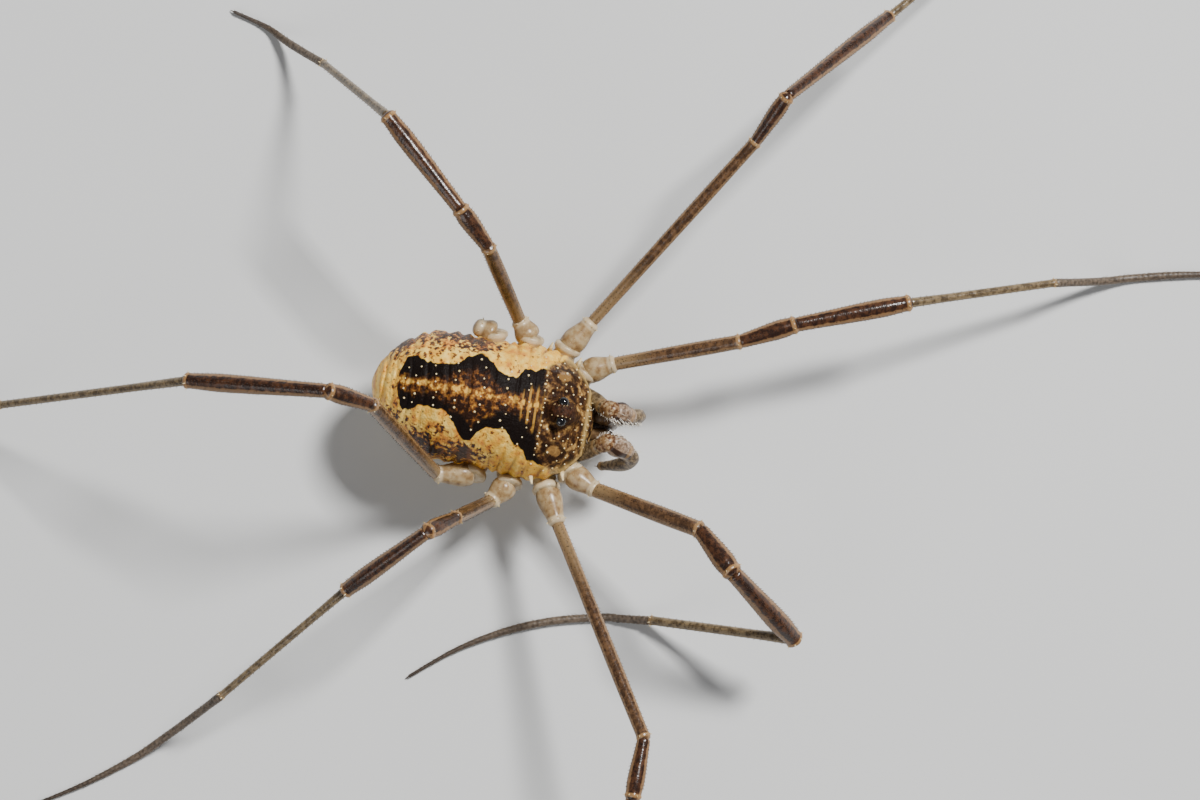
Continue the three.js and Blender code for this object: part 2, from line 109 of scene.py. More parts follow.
# For each segment, its heading from straight ahead and its rise above level. A trochanter has its
# own length as well, and a tarsus has its length, touchdown, heading and turn.
SEGMENTS = ("trochanter", "femur", "patella", "tibia", "metatarsus", "tarsus")
LEGS = {
    "L1": [(23, 12, 0.97), (17, 13.5), (25, 5.5), (20, -4), (19.5, -22), (8.5, 3.4, 17, -14)],
    "L2": [(54.5, 12, 1.15), (55, 19), (61.5, 33), (51.5, -36), (50, -18), (12, 2.4, 54, 26)],
    "L3": [(129.5, 12, 0.7), (126.5, 57), (136.5, 22), (136.5, 3.5), (139, -55),
           (4.5, 3.3, 149, 14)],
    "L4": [(163.5, 12, 0.6)],
    "R1": [(-27, 12, 1.0), (-16, 30.5), (-46, 20), (-34.5, -41), (178, -32), (8.5, 1.6, -176, 34)],
    "R2": [(-64.5, 12, 1.22), (-60.5, 19), (-92.5, 3), (-92, -26), (-88, -19),
           (12, 2.4, -92, -24)],
    "R3": [(-125, 12, 0.85), (-132, 68.5), (-139, 49), (-139, -34.5), (-134, -31),
           (8, 4.4, -139, -10)],
    "R4": [(-169.5, 12, 1.22), (149, 64), (175.5, 34), (-179, -25.5), (-170, -38.5),
           (9, 2.6, -171, 15)],
}
# Radius at base, widest, where widest, end
THICKNESS = {
    "trochanter": (0.39, 0.43, 0.3, 0.28),
    "femur": (0.235, 0.262, 0.7, 0.25),
    "patella": (0.25, 0.33, 0.76, 0.29),
    "tibia": (0.255, 0.325, 0.75, 0.275),
    "metatarsus": (0.17, 0.145, 0.3, 0.14),
}
STOUTNESS = {"L1": 0.96, "L2": 0.82, "L3": 0.96, "L4": 1, "R1": 1.1, "R2": 0.88, "R3": 0.9,
             "R4": 0.92}
# Domed end, flared rim and depth of the ridges of each segment
SEGMENT_ENDS = {
    "trochanter": (0.16, 0.025, 0.02),
    "femur": (0.14, 0.03, 0.03),
    "patella": (0.16, 0.025, 0.045),
    "tibia": (0.14, 0.02, 0.045),
    "metatarsus": (0.1, 0.02, 0.03),
}
# Rows of spines round each segment, their spacing and their length
SPINES = {
    "trochanter": (3, 0.25, 0.05),
    "femur": (5, 0.14, 0.075),
    "patella": (5, 0.13, 0.08),
    "tibia": (5, 0.13, 0.08),
    "metatarsus": (4, 0.26, 0.07),
}
RIM_BACK, RIM_WIDTH, START_ROUNDING = 0.03, 0.06, 0.1
# The foot's path is FLOOR_LINE above the floor, and the foot is lowered onto the floor from there
FLOOR_LINE = 0.2
FOOT_START_RADIUS, FOOT_RADIUS, FOOT_TIP_RADIUS, FOOT_THINS_FROM = 0.155, 0.14, 0.06, 0.45
FOOT_DROP, FOOT_DROP_HEIGHT = FLOOR_LINE - FOOT_RADIUS + 0.012, 1.2
TARSOMERE = 0.17
CLAW_RADIUS, CLAW_TIP_RADIUS = 0.035, 0.008

PALP_JOINTS = {
    "L": [(1.1, -3.25, 2.6), (0.6, -4.0, 3.6), (0.5, -4.34, 3.86), (0.46, -4.87, 3.42),
          (0.62, -4.75, 1.6)],
    "R": [(1.15, -3.25, 2.6), (0.74, -4.02, 3.6), (0.56, -4.36, 3.86), (0.68, -4.96, 3.38),
          (1.15, -4.22, 1.7)],
}
PALP_BOW = {"L": (0.7, -5.6, 2.8), "R": (0.95, -5.65, 2.75)}
PALP_THICKNESS = {
    "femur": (0.22, 0.28, 0.7, 0.25),
    "patella": (0.25, 0.29, 0.6, 0.29),
    "tibia": (0.31, 0.38, 0.5, 0.3),
    "tarsus": (0.25, 0.25, 0.5, 0.15),
}
BEAD_SPACING = 0.055
BEADED_SHARE = {"patella": 1, "tibia": 1, "tarsus": 0.5}
CHELICERA_JOINTS = [(0.29, -3.3, 2.72), (0.31, -4.2, 3.0), (0.27, -4.42, 1.85)]
# Thickness, domed end, rim, rings, overshoot and way up of the two parts of a chelicera
CHELICERA_PARTS = {
    "base": ((0.24, 0.25, 0.5, 0.24), 0.2, 0.02, 24, 0.19, UP),
    "hand": ((0.21, 0.27, 0.42, 0.17), 0.14, 0.0, 30, 0.13, AHEAD),
}
FINGER_LENGTH = 0.5
EPISTOME_Y, EPISTOME_Z = -3.72, 2.75

# A limb's two stripes run this far round from its top, in radians, and are this wide
LIMB_STRIPE_ANGLE, LIMB_STRIPE_WIDTH = 1.08, 0.8
# Rings lie closer together near the ends of a limb, by this share
RING_CROWDING = 0.55
CURVE_STEPS = 24


# Numbers
def smooth(low, high, value):
    share = min(max((value - low) / (high - low), 0), 1)
    return share * share * (3 - 2 * share)


def mix(a, b, share):
    return a + (b - a) * share


def bump_at(value, centre, width):
    return math.exp(-(((value - centre) / width) ** 2))


def direction(heading, rise):
    heading, rise = math.radians(heading), math.radians(rise)
    level = math.cos(rise)
    return Vector((math.sin(heading) * level, -math.cos(heading) * level, math.sin(rise)))


def middle_x(y):
    return LEAN * y


def eye_place(side):
    return Vector((middle_x(HILL_Y) + SIDES[side] * EYE_OUT, HILL_Y, EYE_Z))


def frame_shift():
    """How far the part's frame lies from the animal's own, in millimetres."""
    low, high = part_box("eye_L")
    shift = (low + high) / 2 / MM - eye_place("L")
    return Vector((shift.x, shift.y, 0))


SHIFT = frame_shift()


def grain(point, size, seed=0.0):
    return noise.noise(Vector((point.x + seed, point.y, point.z)) / size)


# Pieces
def link(thing):
    bpy.context.scene.collection.objects.link(thing)


def finish_piece(bm, name, material, replaced=()):
    for vertex in bm.verts:
        vertex.co = (vertex.co + SHIFT) * MM
    bmesh.ops.recalc_face_normals(bm, faces=bm.faces)
    for face in bm.faces:
        face.smooth = True
    mesh = bpy.data.meshes.new(name)
    bm.to_mesh(mesh)
    bm.free()
    mesh.materials.append(material)
    piece = bpy.data.objects.new(name, mesh)
    link(piece)
    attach(piece, "root")
    if replaced:
        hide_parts(*replaced)
    return piece


def frame_along(tangent, up):
    side = tangent.cross(up).normalized()
    return side, side.cross(tangent)


def curve_point(before, a, b, after, t):
    """A point between a and b on the smooth curve through all four."""
    return 0.5 * (2 * a + (b - before) * t + (2 * before - 5 * a + 4 * b - after) * t ** 2
                  + (3 * a - before - 3 * b + after) * t ** 3)


class Path:
    """A line through two points or a curve through more, read by its length."""

    def __init__(self, points):
        self.points = [points[0]]
        curved = len(points) > 2
        for i, (a, b) in enumerate(zip(points, points[1:])):
            before = points[max(i - 1, 0)]
            after = points[min(i + 2, len(points) - 1)]
            if not curved:
                self.points.append(b.copy())
                continue
            for k in range(1, CURVE_STEPS + 1):
                self.points.append(curve_point(before, a, b, after, k / CURVE_STEPS))
        self.marks = [0.0]
        for a, b in zip(self.points, self.points[1:]):
            self.marks.append(self.marks[-1] + (b - a).length)
        self.length = self.marks[-1]

    def at(self, distance):
        last = len(self.points) - 2
        i = 0
        while i < last and self.marks[i + 1] < distance:
            i += 1
        a, b = self.points[i], self.points[i + 1]
        tangent = (b - a).normalized()
        return a + tangent * (distance - self.marks[i]), tangent


def limb_mesh(bm, path, radius_at, sides, rings, up=UP, overshoot=0.0):
    """A closed tube along a path; radius_at gives the radius by distance and angle."""
    layers = {key: bm.verts.layers.float.get(key) or bm.verts.layers.float.new(key)
              for key in ("along", "ridge", "ends", "placed")}
    made = bmesh.ops.create_cone(bm, cap_ends=True, segments=sides, radius1=1, radius2=1, depth=1)
    uprights = {edge for vertex in made["verts"] for edge in vertex.link_edges
                if abs(edge.verts[0].co.z - edge.verts[1].co.z) > 0.5}
    bmesh.ops.subdivide_edges(bm, edges=list(uprights), cuts=rings, use_grid_fill=True)
    reach = path.length + overshoot
    for vertex in bm.verts:
        if vertex[layers["placed"]] > 0:
            continue
        vertex[layers["placed"]] = 1
        share = vertex.co.z + 0.5
        share = mix(share, (1 - math.cos(math.pi * share)) / 2, RING_CROWDING)
        angle = math.atan2(vertex.co.y, vertex.co.x)
        distance = share * reach
        place, tangent = path.at(distance)
        side, top = frame_along(tangent, up)
        radius = radius_at(distance, angle)
        offset = side * math.cos(angle) + top * math.sin(angle)
        vertex.co = place + offset * radius
        vertex[layers["along"]] = share
        from_top = abs(math.atan2(math.cos(angle), math.sin(angle)))
        vertex[layers["ridge"]] = 1 - abs(from_top - LIMB_STRIPE_ANGLE) / LIMB_STRIPE_WIDTH
        vertex[layers["ends"]] = min(distance + 0.08, abs(path.length - RIM_BACK - distance))


def segment_radius(length, thickness, end_dome, ridges, rim=0.0, stoutness=1.0):
    """Radius of a leg segment, with a rounded start, a flared rim and a domed end."""
    base, widest, widest_at, end = thickness
    base, widest, end = base * stoutness, widest * stoutness, end * stoutness

    def radius_at(distance, angle):
        share = min(max(distance / length, 0), 1)
        if share < widest_at:
            radius = mix(base, widest, smooth(0, 1, share / widest_at))
        else:
            radius = mix(widest, end, smooth(0, 1, (share - widest_at) / (1 - widest_at)))
        radius *= 1 + ridges * math.cos(5 * (angle - math.pi / 2)) * smooth(0, 0.3, distance)
        radius += rim * bump_at(distance, length - RIM_BACK, RIM_WIDTH)
        if distance <= 0.001:
            radius *= 0.4
        elif distance < START_ROUNDING:
            short = (START_ROUNDING - distance) / START_ROUNDING
            radius *= math.sqrt(max(1 - short ** 2, 0.004)) * 0.35 + 0.65
        past = distance - length
        if past > 0:
            radius *= math.sqrt(max(1 - (past / end_dome) ** 2, 0.01))
        return radius

    return radius_at


def add_spike(bm, root, way, length, radius, sides=5, tip=0.12):
    turn = way.to_track_quat("Z", "Y").to_matrix().to_4x4()
    centre = root + way * (length / 2)
    bmesh.ops.create_cone(bm, cap_ends=True, segments=sides, radius1=radius, radius2=radius * tip,
                          depth=length, matrix=Matrix.Translation(centre) @ turn)


def add_pearl(bm, root, radius, tall=1.0, way=UP):
    turn = way.to_track_quat("Z", "Y").to_matrix().to_4x4()
    scale = Matrix.Diagonal((1, 1, tall, 1))
    bmesh.ops.create_icosphere(bm, subdivisions=2, radius=radius,
                               matrix=Matrix.Translation(root) @ turn @ scale)


def place_round(path, distance, angle):
    """The place on a path, its direction there, and the way out at this angle round it."""
    place, tangent = path.at(distance)
    side, top = frame_along(tangent, UP)
    return place, tangent, side * math.cos(angle) + top * math.sin(angle)


def add_claw(bm, points):
    claw = Path(points)
    limb_mesh(bm, claw, lambda d, a: mix(CLAW_RADIUS, CLAW_TIP_RADIUS, d / claw.length), 6, 6)


# Trunk shape
def round_off(along, limit, roundness):
    share = min(abs(along) / limit, 1)
    return (1 - share ** roundness) ** (1 / roundness)


def trunk_half_width(y):
    if y > REAR_WIDEST_Y:
        return REAR_WIDTH * round_off(y - REAR_WIDEST_Y, HALF_LENGTH - REAR_WIDEST_Y, REAR_ROUNDNESS)
    if y < FRONT_WIDEST_Y:
        reach = HALF_LENGTH + FRONT_WIDEST_Y
        return FRONT_WIDTH * round_off(y - FRONT_WIDEST_Y, reach, FRONT_ROUNDNESS)
    share = (y - FRONT_WIDEST_Y) / (REAR_WIDEST_Y - FRONT_WIDEST_Y)
    return mix(FRONT_WIDTH, REAR_WIDTH, share) - WAIST_PINCH * math.sin(share * math.pi) ** 2


def back_height(y):
    reach = HALF_LENGTH - BACK_HIGHEST_Y if y > BACK_HIGHEST_Y else HALF_LENGTH + BACK_HIGHEST_Y
    return BACK_HEIGHT * round_off(y - BACK_HIGHEST_Y, reach, 2)


def belly_depth(y):
    depth = BELLY_DEPTH - BELLY_RISE * smooth(-0.5, HALF_LENGTH, -y)
    return depth * round_off(y, HALF_LENGTH, BELLY_ROUNDNESS)


def flank_wave(y, out):
    return math.sin(y * 13 + 5 * out + 5 * grain(Vector((out, y, 0)), 0.8, 5))


def grain_sum(spot, grains):
    return sum(height * grain(spot, size, seed) for height, size, seed in grains)


def skin_relief(y, out, angle):
    """How far the skin stands out from the plain trunk, in millimetres."""
    rise = math.sin(angle)
    upper = smooth(-0.1, 0.35, rise)
    lower = 1 - upper
    spot = Vector((out, y, rise))
    wobble = 0.06 * grain(spot, 0.9, 3)
    relief = grain_sum(spot, SKIN_GRAIN)
    bowed_y = y + wobble - SEAM_BOW * out * out
    depth, width = TERGITE_SEAM
    for seam in TERGITE_SEAMS:
        relief -= depth * upper * bump_at(bowed_y, seam, width)
        relief += SWELLING * upper * bump_at(bowed_y, seam + SWELLING_BEHIND_SEAM, SWELLING_WIDTH)
    bowed_y = y + wobble * 0.4 - CARAPACE_SEAM_BOW * out * out
    depth, width = CARAPACE_SEAM
    for seam in CARAPACE_SEAMS:
        relief -= depth * upper * bump_at(bowed_y, seam, width)
    depth, width = STERNITE_SEAM
    for seam in STERNITE_SEAMS:
        relief -= depth * lower * bump_at(y + wobble, seam, width)
    flank = bump_at(rise, 0.08, 0.34) * smooth(-3.2, -2.4, y)
    relief += FLANK_FOLD * flank * flank_wave(y, out) * smooth(3.6, 2.6, y)
    rear_folds = smooth(2.7, 3.1, y) * upper
    relief += REAR_FOLD * rear_folds * math.sin(REAR_FOLD_RATE * (y + REAR_FOLD_BOW * out * out))
    carapace = smooth(CARAPACE_REAR_Y, CARAPACE_REAR_Y - 0.3, y) * upper
    relief += carapace * grain_sum(spot, CARAPACE_GRAIN)
    relief += carapace * CARAPACE_LEDGE * bump_at(rise, 0.3, 0.08)
    plate = bump_at(out, 0, 0.5) * smooth(0.9, 0.4, y) * smooth(-2.7, -2.2, y) * lower
    return relief + BELLY_PLATE * plate


def hill_height(out, y):
    """Height of the eye hill above the carapace, as a share."""
    away = math.hypot(out / HILL_WIDTH, (y - HILL_Y) / HILL_LENGTH)
    return (1 - smooth(0.35, 1.0, away)) if away < 1 else 0.0


def skin_point(y, angle):
    half_width = trunk_half_width(y)
    out = math.cos(angle) * half_width
    rise = back_height(y) if math.sin(angle) > 0 else belly_depth(y)
    z = MARGIN_Z + math.sin(angle) * rise
    relief = skin_relief(y, out, angle) * min(half_width / 0.5, 1)
    normal = Vector((math.cos(angle), 0, math.sin(angle))).normalized()
    point = Vector((middle_x(y) + out, y, z)) + normal * relief
    if math.sin(angle) > 0:
        share = hill_height(out, y)
        point.z = mix(point.z, HILL_TOP_Z - 0.55 * out * out - 0.12 * abs(y - HILL_Y), share)
        point.z -= 0.05 * bump_at(math.hypot(out, (y - HILL_Y) * 0.85), 0.62, 0.1)
    return point


def skin_top(out, y):
    """The point on the back that is this far out from the middle line."""
    half_width = trunk_half_width(y)
    angle = math.acos(min(max(out / half_width, -1), 1))
    return skin_point(y, angle)


def saddle_half_width(y, side):
    shape = SADDLE[side]
    width = shape["width"]
    for lobe_y, extra, half_length in shape["lobes"]:
        width += extra * bump_at(y, lobe_y, half_length)
    for start_y, end_y, extra in shape["steps"]:
        width += extra * smooth(-start_y, -end_y, -y)
    return width


def saddle_value(y, out):
    edge = saddle_half_width(y, "L" if out > 0 else "R") * smooth(
        SADDLE_REAR_START, SADDLE_REAR_FULL, SADDLE_REAR_Y - y)
    ragged = 0.05 * grain(Vector((out, y, 0)), 0.12, 40) + 0.06 * grain(Vector((out, y, 0)), 0.3, 50)
    return min(edge - abs(out), SADDLE_REAR_Y - y) + ragged


def stripe_value(y, out):
    ragged = 0.12 * grain(Vector((out, y, 0)), 0.14, 60) + 0.16 * grain(Vector((out, y, 0)), 0.4, 70)
    width = STRIPE_WIDTH + STRIPE_LOBE_WIDTH * bump_at(y, STRIPE_LOBE_Y, STRIPE_LOBE_LENGTH)
    width += STRIPE_FRONT_WIDTH * smooth(-STRIPE_FRONT_START_Y, -STRIPE_FRONT_END_Y, -y)
    return width - abs(out + 0.04) + ragged


def skin_marks(y, out, angle):
    """How strongly each pattern shows at this place on the skin."""
    rise = math.sin(angle)
    carapace_edge = CARAPACE_REAR_Y - 0.75 * smooth(1.35, 2.15, abs(out))
    margin = max(bump_at(rise, 0.28, 0.13), bump_at(y, -3.52, 0.06))
    oval = math.hypot((abs(out) - OVAL_OUT) / OVAL_WIDTH, (y - OVAL_Y) / OVAL_LENGTH)
    bowed_y = y - SEAM_BOW * out * out
    return {
        "saddle": saddle_value(y, out) if rise > 0 else -1,
        "stripe": stripe_value(y, out),
        "carapace": smooth(0.1, -0.1, y - carapace_edge),
        "upper": smooth(-0.75, 0.05, rise),
        "flank": bump_at(rise, 0.44, 0.34) * smooth(-1.0, 0.5, y) * smooth(3.5, 2.9, y),
        "margin": margin * smooth(-1.5, -2.3, y),
        "fold": smooth(0.75, 1, -flank_wave(y, out)) * bump_at(rise, 0.3, 0.3),
        "oval": smooth(1.5, 1.1, oval) - 2 * smooth(0.9, 0.6, oval),
        "seam": max(bump_at(bowed_y, seam, 0.05) for seam in TERGITE_SEAMS),
        "middle": bump_at(out, 0.05, 0.17),
        "bands": smooth(-1.15, -1.45, y) * math.sin(y * 27),
        "hill": hill_height(out, y) if rise > 0 else 0,
    }


def make_body(materials):
    bm = bmesh.new()
    bmesh.ops.create_uvsphere(bm, u_segments=SKIN_SIDES, v_segments=SKIN_RINGS, radius=1,
                              matrix=Matrix.Rotation(math.radians(90), 4, "X"))
    layers = {key: bm.verts.layers.float.new(key) for key in skin_marks(0, 0, 0)}
    for vertex in bm.verts:
        y = HALF_LENGTH * vertex.co.y
        angle = math.atan2(vertex.co.z, vertex.co.x)
        out = math.cos(angle) * trunk_half_width(y)
        for key, value in skin_marks(y, out, angle).items():
            vertex[layers[key]] = value
        vertex.co = skin_point(y, angle)
    return finish_piece(bm, "body_skin", materials["body"],
                        ("opisthosoma", "prosoma", "ocularium"))


# Rows of pearly granules: y, how far out, spacing
GRANULE_ROWS = [
    (2.6, 0.5, 0.3), (2.18, 0.62, 0.3), (1.6, 0.66, 0.27), (0.88, 0.9, 0.28), (0.05, 1.2, 0.29),
    (-0.8, 0.95, 0.27), (-1.53, 1.35, 0.3), (-2.06, 1.75, 0.19),
]
CARAPACE_GRANULES, CARAPACE_GRANULE_GAP = 46, 0.17
FRONT_SPINES, HILL_SPINES = 9, 5
# Cones on each flank: y and how steeply they rise
FLANK_CONES = ((-2.95, 0.5), (-1.95, 0.7))


def add_granule_rows(bm):
    for y, reach, spacing in GRANULE_ROWS:
        count = round(2 * reach / spacing)
        for i in range(count + 1):
            out = -reach + 2 * reach * i / count + draw.uniform(-0.06, 0.06)
            wander = 0.03 if y < CARAPACE_REAR_Y else 0.1
            place_y = y + draw.uniform(-wander, wander) + SEAM_BOW * out * out
            add_pearl(bm, skin_top(out, place_y), draw.uniform(0.026, 0.044), 0.8)


def add_carapace_granules(bm):
    placed = []
    while len(placed) < CARAPACE_GRANULES:
        y = draw.uniform(-3.6, -2.25)
        out = draw.uniform(-1, 1) * trunk_half_width(y) * 0.92
        near_hill = math.hypot(out / HILL_WIDTH, (y - HILL_Y) / HILL_LENGTH) < 1.05
        if near_hill or any(math.hypot(out - a, y - b) < CARAPACE_GRANULE_GAP for a, b in placed):
            continue
        placed.append((out, y))
        add_pearl(bm, skin_top(out, y), draw.uniform(0.02, 0.045), 0.9)


def add_front_spines(bm):
    for i in range(FRONT_SPINES):
        out = (i - FRONT_SPINES // 2) * 0.17 + draw.uniform(-0.04, 0.04)
        root = skin_top(out, draw.uniform(-3.6, -3.4))
        add_spike(bm, root - UP * 0.03, Vector((0, -0.6, 0.8)), 0.15, draw.uniform(0.03, 0.05))


def add_hill_spines_and_cones(bm, sign):
    """A row of spines on the eye hill, and two cones at the edge of the carapace."""
    for i in range(HILL_SPINES):
        y = HILL_Y - 0.3 + 0.15 * i + draw.uniform(-0.03, 0.03)
        root = skin_top(sign * (0.15 + draw.uniform(0, 0.05)), y)
        way = Vector((sign * 0.25, -0.2, 1)).normalized()
        add_spike(bm, root - UP * 0.02, way, 0.12, draw.uniform(0.024, 0.04))
    for y, lift in FLANK_CONES:
        root = skin_point(y, math.pi / 2 - sign * (math.pi / 2 - 0.25))
        way = Vector((sign * 0.8, -0.25, lift)).normalized()
        add_spike(bm, root - way * 0.05, way, 0.4, 0.1, sides=12, tip=0.25)


def make_granules(materials):
    bm = bmesh.new()
    add_granule_rows(bm)
    add_carapace_granules(bm)
    add_front_spines(bm)
    for sign in SIDES.values():
        add_hill_spines_and_cones(bm, sign)
    return finish_piece(bm, "body_granules", materials["pearl"])


def make_eyes(materials):
    for side, sign in SIDES.items():
        place = eye_place(side)
        bm = bmesh.new()
        bmesh.ops.create_uvsphere(bm, u_segments=32, v_segments=20, radius=EYE_RADIUS,
                                  matrix=Matrix.Translation(place))
        finish_piece(bm, f"eye_{side}_lens", materials["eye"], (f"eye_{side}",))
        bm = bmesh.new()
        tilt = Vector((sign * 0.8, 0, 0.6)).to_track_quat("Z", "Y").to_matrix().to_4x4()
        lift = EYE_RADIUS * EYE_RIM_LIFT
        bmesh.ops.create_circle(bm, segments=28, radius=EYE_RADIUS * EYE_RIM_SHARE,
                                matrix=Matrix.Translation(place) @ tilt
                                @ Matrix.Translation((0, 0, lift)))
        centre = place + tilt.to_3x3() @ Vector((0, 0, lift))
        sunk = tilt.to_3x3() @ Vector((0, 0, 0.05))
        rim = bmesh.ops.extrude_edge_only(bm, edges=bm.edges[:])
        for vertex in (item for item in rim["geom"] if isinstance(item, bmesh.types.BMVert)):
            vertex.co = centre + (vertex.co - centre) * EYE_RIM_SPREAD - sunk
        bmesh.ops.solidify(bm, geom=bm.faces[:], thickness=EYE_RIM_THICKNESS)
        finish_piece(bm, f"eye_{side}_rim", materials["hill"])


# Legs
def coxa_path(side, pair):
    x, y = PAIRS[pair]["coxa"]
    sign = SIDES[side]
    inner_y = y * 0.7 - 0.25
    inner = Vector((sign * x * 0.42 + middle_x(inner_y), inner_y, COXA_INNER_Z))
    return Path([inner, Vector((sign * x + middle_x(y), y, COXA_END_Z))])


def tarsus_points(start, length, touchdown, heading, turn):
    drop = start.z - FLOOR_LINE
    reach = math.sqrt(touchdown ** 2 - drop ** 2)
    points = [start.copy()]
    place = start.copy()
    for i in range(1, 4):
        place = place + direction(heading, 0) * reach / 3
        points.append(Vector((place.x, place.y, FLOOR_LINE + drop * (1 - i / 3) ** 1.6)))
    lying = length - touchdown
    steps = max(round(lying / 1.6), 1)
    for i in range(1, steps + 1):
        place = place + direction(heading + turn * i / steps, 0) * lying / steps
        points.append(Vector((place.x, place.y, FLOOR_LINE)))
    return points


def make_coxa(leg, materials):
    side, pair = leg
    path = coxa_path(side, pair)
    length = path.length

    def radius_at(distance, angle):
        radius = 0.4 + 0.05 * bump_at(distance, length * 0.55, 0.3)
        radius += 0.07 * smooth(length - 0.16, length - 0.02, distance)
        radius -= 0.03 * bump_at(distance, length - 0.2, 0.04)
        past = distance - length
        if past > 0.06:
            radius *= math.sqrt(max(1 - ((past - 0.06) / 0.14) ** 2, 0.02))
        return radius * (1 + 0.012 * math.cos(7 * angle))

    bm = bmesh.new()
    limb_mesh(bm, path, radius_at, 32, 40, overshoot=0.19)
    finish_piece(bm, f"coxa_{leg}", materials["coxa"])


def make_segment(leg, segment, path, materials):
    dome, rim, ridges = SEGMENT_ENDS[segment]
    stoutness = STOUTNESS[leg] if segment != "trochanter" else 1.0
    radius_at = segment_radius(path.length, THICKNESS[segment], dome, ridges, rim, stoutness)
    bm = bmesh.new()
    limb_mesh(bm, path, radius_at, 20, 44, overshoot=dome * 0.98)
    name = f"leg_{leg}_{segment}"
    finish_piece(bm, f"{name}_skin", materials[segment], (name,))
    return radius_at


def foot_drop(z):
    """How far a point of the foot at this height is lowered towards the floor."""
    return smooth(FLOOR_LINE + FOOT_DROP_HEIGHT, FLOOR_LINE, z) * FOOT_DROP


def make_tarsus(leg, path, materials):
    length = path.length

    def radius_at(distance, angle):
        share = min(distance / length, 1)
        radius = mix(FOOT_START_RADIUS, FOOT_RADIUS, smooth(0, 0.1, share))
        radius = mix(radius, FOOT_TIP_RADIUS, smooth(FOOT_THINS_FROM, 1, share))
        ring = (distance / TARSOMERE) % 1
        radius *= 1 - 0.1 * bump_at(ring, 0.98, 0.12) - 0.1 * bump_at(ring, -0.02, 0.12)
        past = distance - length
        if past > 0:
            radius *= math.sqrt(max(1 - (past / 0.08) ** 2, 0.01))
        if distance < 0.08:
            radius *= 0.7 + 3.7 * distance
        return radius

    bm = bmesh.new()
    rings = int(length / TARSOMERE * 5)
    limb_mesh(bm, path, radius_at, 12, rings, overshoot=0.07)
    for vertex in bm.verts:
        vertex.co.z -= foot_drop(vertex.co.z)
        vertex.co.z = max(vertex.co.z, 0.0)
    tip, tangent = path.at(length)
    tip = Vector((tip.x, tip.y, FOOT_TIP_RADIUS + 0.02))
    add_claw(bm, [tip, tip + tangent * 0.12 + UP * 0.03, tip + tangent * 0.2 - UP * 0.045])
    finish_piece(bm, f"leg_{leg}_tarsus_skin", materials["tarsus"],
                 (f"leg_{leg}_tarsus",))


def add_leg_spines(bm, segment, path, radius_at):
    """Rows of short spines along a segment."""
    length = path.length
    rows, spacing, size = SPINES[segment]
    for row in range(rows):
        base_angle = math.pi / 2 + 2 * math.pi * row / rows + (0.35 if segment == "femur" else 0)
        for i in range(int((length - 0.3) / spacing)):
            distance = 0.2 + spacing * (i + draw.uniform(-0.2, 0.2))
            angle = base_angle + draw.uniform(-0.08, 0.08)
            place, tangent, way = place_round(path, distance, angle)
            root = place + way * (radius_at(distance, angle) - 0.01)
            lie = (way * 0.75 + tangent * 0.7).normalized()
            add_spike(bm, root, lie, size * draw.uniform(0.7, 1.1), 0.014, sides=4)


def add_rim_spines(bm, path, radius_at):
    """Four spines on the upper side of a segment's end."""
    distance = path.length - 0.05
    for angle in (0.25, 1.1, 2.05, 2.9):
        place, tangent, way = place_round(path, distance, angle)
        root = place + way * (radius_at(distance, angle) - 0.01)
        add_spike(bm, root, (way * 0.8 + tangent * 0.6).normalized(), 0.09, 0.022)


def add_foot_hairs(bm, path):
    length = path.length
    for i in range(int(length / 0.12)):
        distance = 0.1 + 0.12 * i
        share = distance / length
        angle = draw.uniform(-0.3, math.pi + 0.3)
        place, tangent, way = place_round(path, distance, angle)
        radius = mix(FOOT_RADIUS, FOOT_TIP_RADIUS, smooth(FOOT_THINS_FROM, 1, share))
        root = place + way * (radius - 0.01) - UP * foot_drop(place.z)
        add_spike(bm, root, (way * 0.55 + tangent).normalized(), 0.13, 0.009, sides=3)


def make_leg(leg, materials):
    side, pair = leg
    make_coxa(leg, materials)
    joint = coxa_path(side, pair).points[-1]
    dark = bmesh.new()
    pale = bmesh.new()
    for segment, pose in zip(SEGMENTS, LEGS[leg]):
        if segment == "tarsus":
            path = Path(tarsus_points(joint, *pose))
            make_tarsus(leg, path, materials)
            add_foot_hairs(dark, path)
            break
        length = pose[2] if len(pose) > 2 else PAIRS[pair][segment]
        end = joint + direction(pose[0], pose[1]) * length
        path = Path([joint, end])
        radius_at = make_segment(leg, segment, path, materials)
        add_leg_spines(pale if segment == "trochanter" else dark, segment, path, radius_at)
        add_rim_spines(pale, path, radius_at)
        joint = end
    if dark.verts:
        finish_piece(dark, f"leg_{leg}_spines", materials["spine"])
    else:
        dark.free()
    finish_piece(pale, f"leg_{leg}_rim_spines", materials["pearl"])


# Mouthparts
def out_place(side, joint):
    out, y, z = joint
    return Vector((SIDES[side] * out + middle_x(y), y, z))


